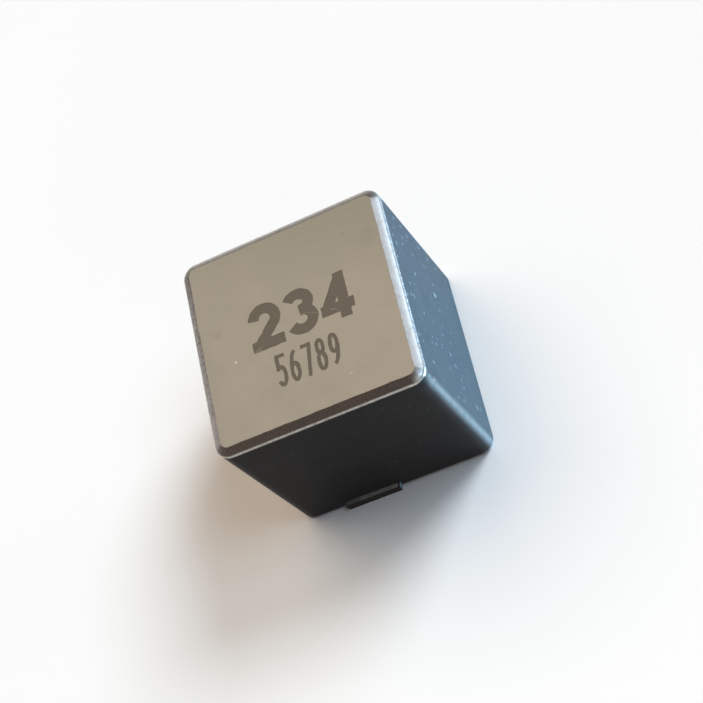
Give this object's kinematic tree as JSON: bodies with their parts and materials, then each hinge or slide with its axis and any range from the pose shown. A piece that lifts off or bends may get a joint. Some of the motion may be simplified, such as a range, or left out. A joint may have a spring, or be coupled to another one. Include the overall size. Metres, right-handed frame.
{
  "type": "power inductor",
  "caption": "Near-cubic surface-mount ferrite power inductor with a ground, chamfered top face and two tinned solder pads under the base.",
  "frame": {"origin": "middle of the base, at the level of the board that the solder pads stand on", "axes": "+Z out of the ground top face, +Y from the front terminal to the rear terminal, +X to the right seen from the front"},
  "size_m": [0.01, 0.0104, 0.0093],
  "materials": {
    "ferrite": "sintered sides, semi-gloss ground top",
    "enamelled_copper": "clear enamel",
    "tinned_copper": "matt tin",
    "spacer_film": "smooth film",
    "adhesive": "cured epoxy"
  },
  "bodies": {
    "root": {"shell_core": "ferrite", "post_core": "ferrite", "winding": "enamelled_copper", "terminal_front": "tinned_copper", "terminal_rear": "tinned_copper", "gap_spacer": "spacer_film", "adhesive_left": "adhesive", "adhesive_right": "adhesive"}
  },
  "joints": []
}
